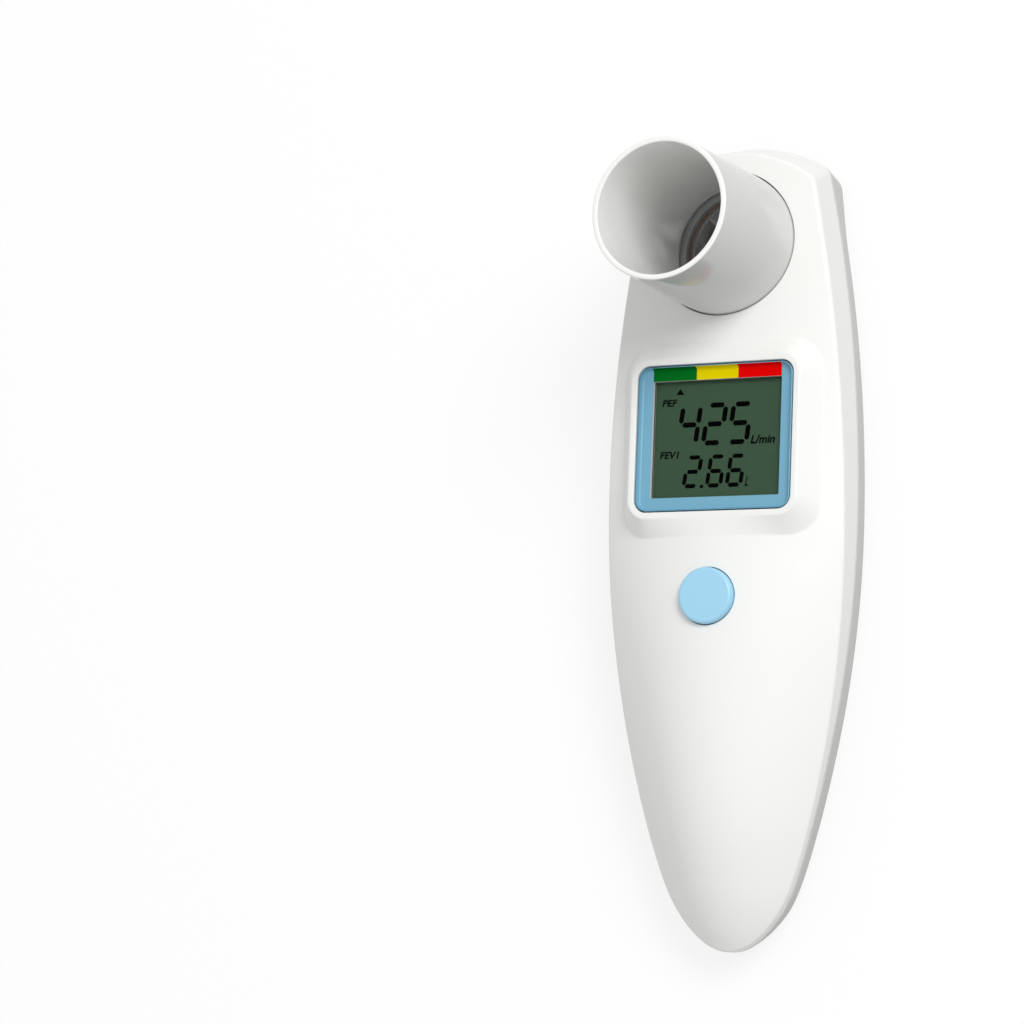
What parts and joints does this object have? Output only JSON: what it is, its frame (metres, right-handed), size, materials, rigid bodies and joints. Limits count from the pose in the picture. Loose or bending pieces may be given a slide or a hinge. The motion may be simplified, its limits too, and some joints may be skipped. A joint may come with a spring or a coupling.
{
  "type": "electronic peak flow meter",
  "caption": "Hand-held lung function meter: leaf-shaped white case with an upright round mouthpiece, framed display, one round button, and a turbine flow head inside.",
  "frame": {"origin": "bottom centre of the bounding box; the meter lies on its back, with its rear face at Z 0", "axes": "+X is the meter's right side, +Y points along the body to the mouthpiece end, +Z is the side with the display"},
  "size_m": [0.0508, 0.1614, 0.0531],
  "materials": {
    "front_plastic": "glossy white",
    "rear_plastic": "glossy white",
    "door_plastic": "glossy white",
    "mouthpiece_plastic": "glossy white",
    "seal_rubber": "matt",
    "turbine_plastic": "satin dark grey",
    "ring_bronze": "drawn wire",
    "pin_steel": "ground",
    "grille_plastic": "matt",
    "emitter_resin": "clear resin",
    "receiver_resin": "dark resin",
    "bezel_blue": "satin blue",
    "pane_clear": "clear",
    "glass_green": "dark green display",
    "holder_plastic": "matt",
    "strip_rubber": "matt",
    "board_green": "solder mask",
    "chip_resin": "matt",
    "button_blue": "satin light blue",
    "switch_black": "matt",
    "plunger_white": "matt",
    "cell_sleeve": "plain printed sleeve",
    "contact_nickel": "nickel plated",
    "screw_steel": "zinc plated"
  },
  "bodies": {
    "meter": {"front_cover": "front_plastic", "rear_cover": "rear_plastic", "inlet_seal": "seal_rubber", "turbine_housing": "turbine_plastic", "flow_swirler": "turbine_plastic", "bearing_bridge": "turbine_plastic", "retaining_ring": "ring_bronze", "outlet_grille": "grille_plastic", "light_emitter": "emitter_resin", "light_receiver": "receiver_resin", "display_bezel": "bezel_blue", "display_pane": "pane_clear", "display_glass": "glass_green", "display_holder": "holder_plastic", "contact_strip_top": "strip_rubber", "contact_strip_bottom": "strip_rubber", "circuit_board": "board_green", "processor_chip": "chip_resin", "button_switch": "switch_black", "battery_left": "cell_sleeve", "battery_right": "cell_sleeve", "battery_spring_left": "contact_nickel", "battery_spring_right": "contact_nickel", "contact_bridge": "contact_nickel", "contact_left": "contact_nickel", "contact_right": "contact_nickel", "screw_top_left": "screw_steel", "screw_top_right": "screw_steel", "screw_side_left": "screw_steel", "screw_side_right": "screw_steel", "screw_tip": "screw_steel"},
    "button": {"button_cap": "button_blue", "switch_plunger": "plunger_white"},
    "rotor": {"rotor_vane": "turbine_plastic", "rotor_pin": "pin_steel"},
    "door": {"battery_door": "door_plastic"},
    "mouthpiece_tube": {"mouthpiece": "mouthpiece_plastic"}
  },
  "joints": [
    {"name": "button_press", "type": "slide", "parent": "meter", "child": "button", "axis": [0, 0, -1], "range_m": [0, 0.0006], "stiffness_N_per_m": 1500, "springref_m": -0.0004},
    {"name": "rotor_spin", "type": "hinge", "parent": "meter", "child": "rotor", "pos_m": [0, 0.05885, 0], "axis": [0, 0, 1], "continuous": true},
    {"name": "door_slide", "type": "slide", "parent": "meter", "child": "door", "axis": [0, -1, 0], "range_m": [0, 0.08]},
    {"name": "mouthpiece_pull", "type": "slide", "parent": "meter", "child": "mouthpiece_tube", "axis": [0, 0, 1], "range_m": [0, 0.03]}
  ]
}
